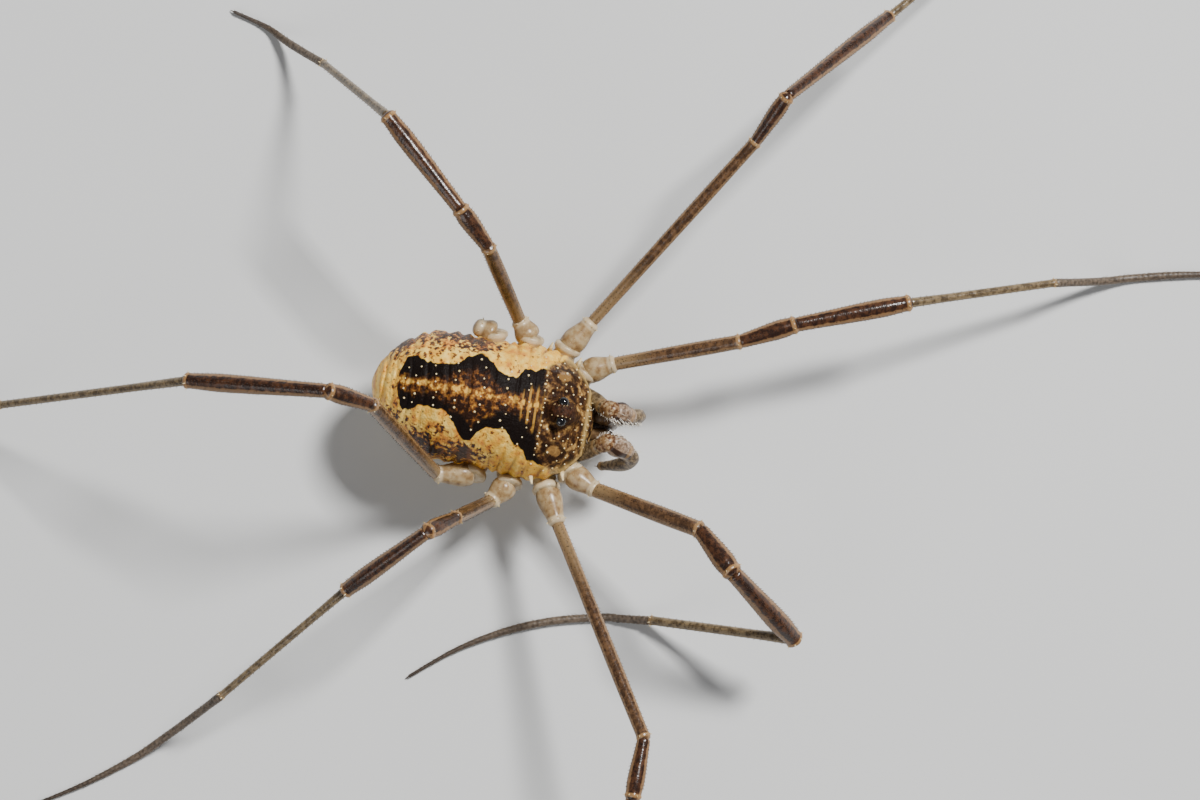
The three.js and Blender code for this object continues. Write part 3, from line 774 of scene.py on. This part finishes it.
def make_palp(side, materials):
    joints = [out_place(side, joint) for joint in PALP_JOINTS[side]]
    bow = out_place(side, PALP_BOW[side])
    hairs = bmesh.new()
    for i, segment in enumerate(("femur", "patella", "tibia", "tarsus")):
        start, end = joints[i], joints[i + 1]
        if segment == "tarsus":
            middle = (start + 2 * bow + end) / 4
            path = Path([start, (start * 9 + bow * 6 + end) / 16, middle,
                         (start + bow * 6 + end * 9) / 16, end])
        else:
            path = Path([start, end])
        thickness = PALP_THICKNESS[segment]
        dome = thickness[3] * 0.9
        radius_at = segment_radius(path.length, thickness, dome, 0.03, 0.012)
        bm = bmesh.new()
        limb_mesh(bm, path, radius_at, 24, 34, up=AHEAD, overshoot=dome * 0.98)
        if segment == "tarsus":
            tip, tangent = path.at(path.length)
            add_claw(bm, [tip, tip + tangent * 0.16, tip + tangent * 0.22 - AHEAD * 0.06])
        name = f"pedipalp_{side}_{segment}"
        finish_piece(bm, f"{name}_skin", materials[f"palp_{segment}"], (name,))
        add_palp_hairs(hairs, side, segment, path, radius_at)
    finish_piece(hairs, f"pedipalp_{side}_hairs", materials["hair"])


def add_palp_hairs(bm, side, segment, path, radius_at):
    """White bristles, thickest on the side that faces the other palp."""
    inward = Vector((-SIDES[side], -0.2, -0.25)).normalized()
    count = {"femur": 26, "patella": 26, "tibia": 44, "tarsus": 60}[segment]
    for i in range(count):
        distance = path.length * (i + 0.5) / count
        place, tangent = path.at(distance)
        sweep = draw.gauss(0, 0.75)
        across = tangent.cross(inward).normalized()
        flat = (inward - tangent * inward.dot(tangent)).normalized()
        way = (flat * math.cos(sweep) + across * math.sin(sweep)).normalized()
        root = place + way * (thick_at(radius_at, distance) - 0.012)
        lie = (way + tangent * 0.7).normalized()
        add_spike(bm, root, lie, draw.uniform(0.1, 0.2), 0.012, sides=4)
    if segment == "femur":
        return
    for row, lift in enumerate((0.15, 0.75)):
        for i in range(int(path.length * BEADED_SHARE[segment] / BEAD_SPACING)):
            distance = BEAD_SPACING * (i + 0.5 * row)
            place, tangent = path.at(distance)
            flat = (inward - tangent * inward.dot(tangent)).normalized()
            way = (flat + UP * lift).normalized()
            weave = 0.03 + 0.03 * math.sin(i * 2.1)
            add_pearl(bm, place + way * (thick_at(radius_at, distance) + weave), 0.024)


def thick_at(radius_at, distance):
    return radius_at(distance, math.pi / 2 + 0.3)


def make_epistome(materials):
    """The dark plate between the chelicerae, under the front edge of the carapace."""
    bm = bmesh.new()
    place = Matrix.Translation((middle_x(EPISTOME_Y), EPISTOME_Y, EPISTOME_Z))
    bmesh.ops.create_uvsphere(bm, u_segments=32, v_segments=20, radius=1,
                              matrix=place @ Matrix.Diagonal((0.26, 0.62, 0.3, 1)))
    finish_piece(bm, "epistome", materials["finger_dark"])


def make_chelicera(side, materials):
    joints = [out_place(side, joint) for joint in CHELICERA_JOINTS]
    for i, (part, form) in enumerate(CHELICERA_PARTS.items()):
        thickness, dome, rim, rings, overshoot, up = form
        path = Path(joints[i:i + 2])
        radius_at = segment_radius(path.length, thickness, dome, 0.02, rim)
        bm = bmesh.new()
        limb_mesh(bm, path, radius_at, 24, rings, up=up, overshoot=overshoot)
        name = f"chelicera_{side}_{part}"
        finish_piece(bm, f"{name}_skin", materials["mouth"], (name,))
    wrist = joints[-1]
    bm = bmesh.new()
    sign = SIDES[side]
    for outward in (1, -1):
        way = Vector((sign * outward, 0, 0))
        finger = Path([wrist + way * 0.07 + UP * 0.06, wrist + way * 0.13 - UP * 0.16,
                       wrist + way * 0.11 - UP * 0.34, wrist + way * 0.03 - UP * FINGER_LENGTH])
        limb_mesh(bm, finger, lambda d, a: mix(0.085, 0.014, d / finger.length), 12, 16, up=AHEAD)
    finish_piece(bm, f"chelicera_{side}_fingers", materials["finger"])


# Materials
class Paint:
    """A procedural material built step by step."""

    def __init__(self, name, roughness, specular=0.4):
        self.material = bpy.data.materials.new(name)
        self.material.use_nodes = True
        self.nodes = self.material.node_tree.nodes
        self.links = self.material.node_tree.links
        self.shader = self.nodes["Principled BSDF"]
        self.shader.inputs["Roughness"].default_value = roughness
        self.shader.inputs["Specular IOR Level"].default_value = specular
        self.coords = self.nodes.new("ShaderNodeTexCoord").outputs["Object"]

    def put(self, socket, value):
        if isinstance(value, bpy.types.NodeSocket):
            self.links.new(value, socket)
        else:
            socket.default_value = value

    def attribute(self, name):
        node = self.nodes.new("ShaderNodeAttribute")
        node.attribute_name = name
        return node.outputs["Fac"]

    def noise(self, size, detail=3.0, roughness=0.55):
        """Noise with grains of about this size in millimetres."""
        node = self.nodes.new("ShaderNodeTexNoise")
        node.inputs["Scale"].default_value = 1 / (size * MM)
        node.inputs["Detail"].default_value = detail
        node.inputs["Roughness"].default_value = roughness
        self.links.new(self.coords, node.inputs["Vector"])
        return node.outputs["Fac"]

    def cells(self, size):
        """Distance from the nearest of many scattered points, about this far apart."""
        node = self.nodes.new("ShaderNodeTexVoronoi")
        node.inputs["Scale"].default_value = 1 / (size * MM)
        self.links.new(self.coords, node.inputs["Vector"])
        return node.outputs["Distance"]

    def math(self, operation, a, b=0.0):
        node = self.nodes.new("ShaderNodeMath")
        node.operation = operation
        self.put(node.inputs[0], a)
        self.put(node.inputs[1], b)
        return node.outputs[0]

    def plus(self, a, b):
        return self.math("ADD", a, b)

    def times(self, a, b):
        return self.math("MULTIPLY", a, b)

    def step(self, value, low, high):
        node = self.nodes.new("ShaderNodeMapRange")
        node.interpolation_type = "SMOOTHSTEP"
        node.inputs["From Min"].default_value = low
        node.inputs["From Max"].default_value = high
        self.put(node.inputs["Value"], value)
        return node.outputs["Result"]

    def blend(self, share, a, b):
        node = self.nodes.new("ShaderNodeMix")
        node.data_type = "RGBA"
        self.put(node.inputs[0], share)
        self.put(node.inputs[6], a if isinstance(a, bpy.types.NodeSocket) else (*a, 1))
        self.put(node.inputs[7], b if isinstance(b, bpy.types.NodeSocket) else (*b, 1))
        return node.outputs[2]

    def ramp(self, value, *stops):
        node = self.nodes.new("ShaderNodeValToRGB")
        elements = node.color_ramp.elements
        while len(elements) < len(stops):
            elements.new(0.5)
        for element, (place, colour) in zip(elements, stops):
            element.position = place
            element.color = (*colour, 1)
        self.put(node.inputs[0], value)
        return node.outputs[0]

    def finish(self, colour, height=None, depth=0.01, strength=0.6):
        self.put(self.shader.inputs["Base Color"], colour)
        if height is not None:
            node = self.nodes.new("ShaderNodeBump")
            node.inputs["Strength"].default_value = strength
            node.inputs["Distance"].default_value = depth * MM
            self.links.new(height, node.inputs["Height"])
            self.links.new(node.outputs["Normal"], self.shader.inputs["Normal"])
        return self.material


# Colours of the skin, and ramps as place and colour
CREAM = (0.8, 0.43, 0.045)
PALE_CREAM = (0.9, 0.6, 0.13)
DEEP_CREAM = (0.68, 0.29, 0.03)
ORANGE = (0.6, 0.22, 0.03)
RUST = (0.2, 0.06, 0.012)
DARK_BROWN = (0.035, 0.013, 0.005)
BLACK = (0.006, 0.003, 0.002)
STRIPE_RAMP = ((0.4, (0.02, 0.007, 0.003)), (0.5, (0.13, 0.045, 0.01)),
               (0.58, (0.3, 0.12, 0.018)), (0.68, (0.72, 0.4, 0.07)))
STRIPE_SEAM = (0.03, 0.011, 0.004)
BAND_PALE = (0.62, 0.33, 0.06)
BAND_DARK = (0.04, 0.015, 0.004)
CARAPACE_RAMP = ((0.52, (0.022, 0.009, 0.004)), (0.62, (0.08, 0.035, 0.011)),
                 (0.71, (0.22, 0.115, 0.035)), (0.82, (0.5, 0.31, 0.1)))
OVAL_EDGE = (0.02, 0.008, 0.003)
OVAL_MIDDLE = (0.32, 0.17, 0.05)
MARGIN_PALE = (0.6, 0.4, 0.14)
CREST_RAMP = ((0.4, (0.018, 0.007, 0.003)), (0.62, (0.06, 0.022, 0.009)))
BELLY_RAMP = ((0.35, (0.6, 0.47, 0.27)), (0.6, (0.7, 0.56, 0.33)), (0.72, (0.36, 0.22, 0.1)))


def ground_colour(paint, middle, wide):
    """Cream with orange clouds, rusty blotches and dark pepper, thickest on the flanks."""
    flank = paint.attribute("flank")
    ground = paint.ramp(middle, (0.36, PALE_CREAM), (0.5, CREAM), (0.66, DEEP_CREAM))
    rusty = paint.step(paint.plus(paint.times(flank, 0.2), middle), 0.56, 0.7)
    ground = paint.blend(paint.times(rusty, 0.8), ground, ORANGE)
    blotches = paint.plus(paint.times(paint.noise(0.16, 4), 0.7), paint.times(wide, 0.4))
    blotches = paint.plus(blotches, paint.times(flank, 0.19))
    ground = paint.blend(paint.times(paint.step(blotches, 0.64, 0.68), 0.9), ground, RUST)
    ground = paint.blend(paint.step(blotches, 0.69, 0.73), ground, DARK_BROWN)
    ground = paint.blend(paint.times(paint.attribute("fold"), 0.75), ground, RUST)
    pepper = paint.step(paint.cells(0.2), 0.22, 0.12)
    chosen = paint.step(paint.noise(0.5, 2), 0.48, 0.56)
    return paint.blend(paint.times(pepper, chosen), ground, DARK_BROWN)


def saddle_colour(paint, wide):
    """Black, with a mottled golden stripe that seams and, near the head, bands cross."""
    mottle = paint.plus(paint.noise(0.17, 4), paint.times(wide, 0.3))
    centre = paint.times(paint.attribute("middle"), 0.23)
    mottle = paint.plus(mottle, paint.plus(centre, -0.25))
    mottled = paint.ramp(mottle, *STRIPE_RAMP)
    mottled = paint.blend(paint.times(paint.attribute("seam"), 0.65), mottled, STRIPE_SEAM)
    bands = paint.attribute("bands")
    mottled = paint.blend(paint.times(paint.step(bands, 0.1, 0.9), 0.6), mottled, BAND_PALE)
    mottled = paint.blend(paint.times(paint.step(bands, -0.1, -0.8), 0.85), mottled, BAND_DARK)
    return paint.blend(paint.step(paint.attribute("stripe"), -0.1, 0.16), BLACK, mottled)


def carapace_colour(paint, swirl, fine):
    """Dark brown swirls, two pale ovals, a pale margin and the dark eye hill."""
    carapace = paint.ramp(swirl, *CARAPACE_RAMP)
    oval = paint.attribute("oval")
    carapace = paint.blend(paint.times(paint.step(oval, 0.2, 0.9), 0.8), carapace, OVAL_EDGE)
    carapace = paint.blend(paint.times(paint.step(oval, -0.3, -0.9), 0.6), carapace, OVAL_MIDDLE)
    carapace = paint.blend(paint.times(paint.attribute("margin"), 0.75), carapace, MARGIN_PALE)
    crest = paint.ramp(fine, *CREST_RAMP)
    return paint.blend(paint.step(paint.attribute("hill"), 0.1, 0.6), carapace, crest)


def body_paint():
    paint = Paint("harvestman_skin", 0.42)
    fine = paint.noise(0.1, 4)
    middle = paint.noise(0.32, 4)
    wide = paint.noise(0.9, 3)
    swirl = paint.plus(paint.noise(0.24, 2, 0.6), paint.times(fine, 0.2))
    saddle = paint.step(paint.attribute("saddle"), -0.02, 0.03)
    back = paint.blend(saddle, ground_colour(paint, middle, wide), saddle_colour(paint, wide))
    colour = paint.blend(paint.attribute("carapace"), back, carapace_colour(paint, swirl, fine))
    belly = paint.ramp(middle, *BELLY_RAMP)
    upper = paint.plus(paint.attribute("upper"), paint.times(middle, 0.7))
    colour = paint.blend(paint.step(upper, 0.6, 1.1), belly, colour)
    rough = paint.plus(0.28, paint.times(fine, 0.3))
    rough = paint.plus(rough, paint.times(saddle, 0.14))
    gloss = paint.math("SUBTRACT", 0.34, paint.times(saddle, 0.24))
    paint.put(paint.shader.inputs["Specular IOR Level"], gloss)
    paint.put(paint.shader.inputs["Roughness"], rough)
    height = paint.plus(paint.times(paint.cells(0.07), -1.0), paint.times(swirl, 2.0))
    return paint.finish(colour, height, 0.025, 0.6)


def leg_paint(name, dark, mid, pale, ring, start=None, pale_share=0.55):
    """Brown cuticle with pale edges on both sides, black dots and a pale rim."""
    paint = Paint(name, 0.26, 0.5)
    cloud = paint.noise(0.2, 4)
    base = paint.ramp(cloud, (0.42, dark), (0.6, mid))
    if start:
        base = paint.blend(paint.step(paint.attribute("along"), 0.4, 0.02), base, start)
    edge = paint.step(paint.plus(paint.attribute("ridge"), paint.times(cloud, 0.5)), 0.7, 0.95)
    base = paint.blend(paint.times(edge, pale_share), base, pale)
    dots = paint.step(paint.cells(0.085), 0.3, 0.2)
    base = paint.blend(paint.times(dots, 0.7), base, (0.008, 0.004, 0.002))
    ends = paint.step(paint.attribute("ends"), 0.09, 0.045)
    base = paint.blend(paint.times(ends, 0.6), base, ring)
    height = paint.plus(cloud, paint.times(paint.cells(0.06), 0.6))
    return paint.finish(base, height, 0.014, 0.6)


def coxa_paint(name, pale, tan, dark):
    paint = Paint(name, 0.3)
    paint.shader.inputs["Subsurface Weight"].default_value = 0.15
    paint.shader.inputs["Subsurface Radius"].default_value = (0.0004, 0.00025, 0.00015)
    cloud = paint.noise(0.25, 4)
    base = paint.ramp(cloud, (0.36, pale), (0.52, tan), (0.7, dark))
    ends = paint.step(paint.attribute("ends"), 0.17, 0.07)
    base = paint.blend(paint.times(ends, 0.6), base, (0.66, 0.54, 0.35))
    flecks = paint.step(paint.cells(0.2), 0.16, 0.08)
    base = paint.blend(paint.times(flecks, 0.5), base, (0.2, 0.09, 0.03))
    return paint.finish(base, cloud, 0.02, 0.5)


def tarsus_paint():
    paint = Paint("foot_ringed", 0.45)
    grain_fine = paint.noise(0.1, 3)
    base = paint.ramp(grain_fine, (0.35, (0.05, 0.035, 0.024)), (0.65, (0.15, 0.11, 0.075)))
    tipward = paint.step(paint.attribute("along"), 0.35, 1.0)
    base = paint.blend(paint.times(tipward, 0.7), base, (0.016, 0.011, 0.009))
    ridge = paint.step(paint.attribute("ridge"), 0.7, 1.0)
    base = paint.blend(paint.times(ridge, 0.35), base, (0.3, 0.22, 0.15))
    return paint.finish(base, grain_fine, 0.008, 0.5)


def palp_paint(name, dark, mid, pale, striped=False):
    paint = Paint(name, 0.36)
    cloud = paint.noise(0.12, 4)
    base = paint.ramp(cloud, (0.38, dark), (0.5, mid), (0.62, pale))
    dots = paint.step(paint.cells(0.1), 0.26, 0.16)
    base = paint.blend(paint.times(dots, 0.7), base, (0.02, 0.009, 0.004))
    if striped:
        side = paint.plus(paint.attribute("ridge"), paint.times(cloud, 0.3))
        base = paint.blend(paint.step(side, 0.72, 0.9), base, (0.03, 0.012, 0.006))
    ends = paint.step(paint.attribute("ends"), 0.08, 0.04)
    base = paint.blend(paint.times(ends, 0.4), base, (0.4, 0.24, 0.1))
    return paint.finish(base, cloud, 0.01, 0.5)


def mouth_paint():
    paint = Paint("mouth_cuticle", 0.35)
    cloud = paint.noise(0.2, 3)
    base = paint.ramp(cloud, (0.35, (0.2, 0.12, 0.055)), (0.62, (0.08, 0.04, 0.018)))
    return paint.finish(base, cloud, 0.01, 0.4)


def finger_paint():
    paint = Paint("finger_tips", 0.25)
    tip = paint.step(paint.attribute("along"), 0.2, 0.6)
    base = paint.blend(tip, (0.4, 0.26, 0.14), (0.03, 0.015, 0.01))
    return paint.finish(base, paint.noise(0.08, 2), 0.005, 0.3)


def grainy_paint(name, roughness, low, high, size, specular=0.4):
    paint = Paint(name, roughness, specular)
    cloud = paint.noise(size, 3)
    return paint.finish(paint.ramp(cloud, (0.38, low), (0.62, high)), cloud, 0.005, 0.3)


def make_materials():
    brown = ((0.022, 0.009, 0.005), (0.07, 0.028, 0.012), (0.36, 0.2, 0.085), (0.42, 0.23, 0.09))
    femur = ((0.05, 0.025, 0.012), (0.12, 0.062, 0.028), (0.34, 0.2, 0.09), (0.42, 0.24, 0.1))
    shin = ((0.08, 0.054, 0.028), (0.19, 0.134, 0.07), (0.28, 0.2, 0.11), (0.3, 0.18, 0.08))
    tan = (0.22, 0.14, 0.065)
    palps = {
        "femur": ((0.05, 0.03, 0.014), (0.13, 0.09, 0.045), (0.24, 0.17, 0.09)),
        "patella": ((0.06, 0.02, 0.006), (0.17, 0.08, 0.03), (0.4, 0.28, 0.15)),
        "tibia": ((0.12, 0.07, 0.04), (0.25, 0.165, 0.105), (0.38, 0.27, 0.19)),
        "tarsus": ((0.06, 0.035, 0.016), (0.15, 0.1, 0.05), (0.27, 0.19, 0.1)),
    }
    palp_paints = {f"palp_{segment}": palp_paint(f"palp_{segment}", *colours, segment == "tibia")
                   for segment, colours in palps.items()}
    return {
        **palp_paints,
        "body": body_paint(),
        "pearl": grainy_paint("pearl_granules", 0.3, (0.66, 0.48, 0.2), (0.84, 0.7, 0.42), 0.1),
        "hill": grainy_paint("eye_hill_brown", 0.3, (0.02, 0.008, 0.004), (0.08, 0.03, 0.012), 0.1),
        "eye": grainy_paint("eye_black", 0.04, (0.002, 0.002, 0.003), (0.006, 0.005, 0.006), 0.3, 0.8),
        "coxa": coxa_paint("coxa_waxy", (0.5, 0.4, 0.25), (0.37, 0.27, 0.14), (0.2, 0.12, 0.05)),
        "trochanter": coxa_paint("trochanter_waxy", (0.42, 0.31, 0.17), (0.31, 0.2, 0.09),
                                 (0.17, 0.09, 0.035)),
        "femur": leg_paint("femur_cuticle", *femur, start=tan),
        "patella": leg_paint("patella_cuticle", *brown),
        "tibia": leg_paint("tibia_cuticle", *brown),
        "metatarsus": leg_paint("shin_cuticle", *shin, pale_share=0.4),
        "tarsus": tarsus_paint(),
        "spine": grainy_paint("dark_spines", 0.4, (0.02, 0.01, 0.006), (0.06, 0.03, 0.016), 0.1),
        "hair": grainy_paint("white_hairs", 0.35, (0.7, 0.62, 0.5), (0.9, 0.86, 0.78), 0.1),
        "finger_dark": grainy_paint("epistome_dark", 0.4, (0.012, 0.006, 0.003),
                                    (0.05, 0.025, 0.01), 0.1),
        "mouth": mouth_paint(),
        "finger": finger_paint(),
    }


# Stage
CAMERA_TILT = 7.0
CAMERA_ROLL = 8.5
CAMERA_DISTANCE = 170.0
PIXELS_PER_MM = 30.0
TRUNK_CENTRE_PIXEL = (482.5, 403.5)
TRUNK_CENTRE_Z = 3.0
PICTURE = (1200, 800)
SENSOR = 36.0
FLOOR_HALF_SIZE = 1.5
# Name, place in metres, power in watts and size in metres
LIGHTS = (
    ("key_light", (0.14, -0.12, 0.26), 1.75, 0.06),
    ("fill_light", (-0.22, 0.14, 0.2), 0.35, 0.2),
)
SKY_COLOUR, SKY_STRENGTH = (0.9, 0.93, 1, 1), 0.16


def make_camera():
    tilt, roll = math.radians(CAMERA_TILT), math.radians(CAMERA_ROLL)
    back = Vector((-math.sin(tilt), 0, math.cos(tilt)))
    flat_right = Vector((0, -1, 0))
    flat_up = Vector((math.cos(tilt), 0, math.sin(tilt)))
    right = flat_right * math.cos(roll) + flat_up * math.sin(roll)
    up = flat_up * math.cos(roll) - flat_right * math.sin(roll)
    pixel_x, pixel_y = TRUNK_CENTRE_PIXEL
    target = Vector((0, 0, TRUNK_CENTRE_Z))
    target += right * (PICTURE[0] / 2 - pixel_x) / PIXELS_PER_MM
    target += up * (pixel_y - PICTURE[1] / 2) / PIXELS_PER_MM
    camera = bpy.data.objects.new("camera", bpy.data.cameras.new("camera"))
    link(camera)
    place = (target + back * CAMERA_DISTANCE + SHIFT) * MM
    turn = Matrix((right, up, back)).transposed().to_4x4()
    camera.matrix_world = Matrix.Translation(place) @ turn
    camera.data.sensor_width = SENSOR
    camera.data.lens = SENSOR * CAMERA_DISTANCE / (PICTURE[0] / PIXELS_PER_MM)
    camera.data.clip_start = 0.01
    camera.data.clip_end = 10
    bpy.context.scene.camera = camera


def make_floor():
    bm = bmesh.new()
    bmesh.ops.create_grid(bm, x_segments=1, y_segments=1, size=FLOOR_HALF_SIZE)
    mesh = bpy.data.meshes.new("floor")
    bm.to_mesh(mesh)
    bm.free()
    paint = Paint("floor_pale", 0.75, 0.2)
    mesh.materials.append(paint.finish(paint.ramp(paint.noise(30, 2), (0.3, (0.6, 0.6, 0.59)),
                                                  (0.7, (0.64, 0.64, 0.63)))))
    floor = bpy.data.objects.new("floor", mesh)
    link(floor)


def add_light(name, place, energy, size):
    data = bpy.data.lights.new(name, "AREA")
    data.energy = energy
    data.size = size
    light = bpy.data.objects.new(name, data)
    light.location = place
    light.rotation_euler = (-Vector(place)).to_track_quat("-Z", "Y").to_euler()
    link(light)


def make_light():
    for light in LIGHTS:
        add_light(*light)
    world = bpy.data.worlds.new("studio")
    world.use_nodes = True
    background = world.node_tree.nodes["Background"]
    background.inputs["Color"].default_value = SKY_COLOUR
    background.inputs["Strength"].default_value = SKY_STRENGTH
    bpy.context.scene.world = world


make_camera()
make_floor()
make_light()
paints = make_materials()
make_body(paints)
make_granules(paints)
make_eyes(paints)
for leg_name in LEGS:
    make_leg(leg_name, paints)
for palp_side in SIDES:
    make_palp(palp_side, paints)
    make_chelicera(palp_side, paints)
make_epistome(paints)
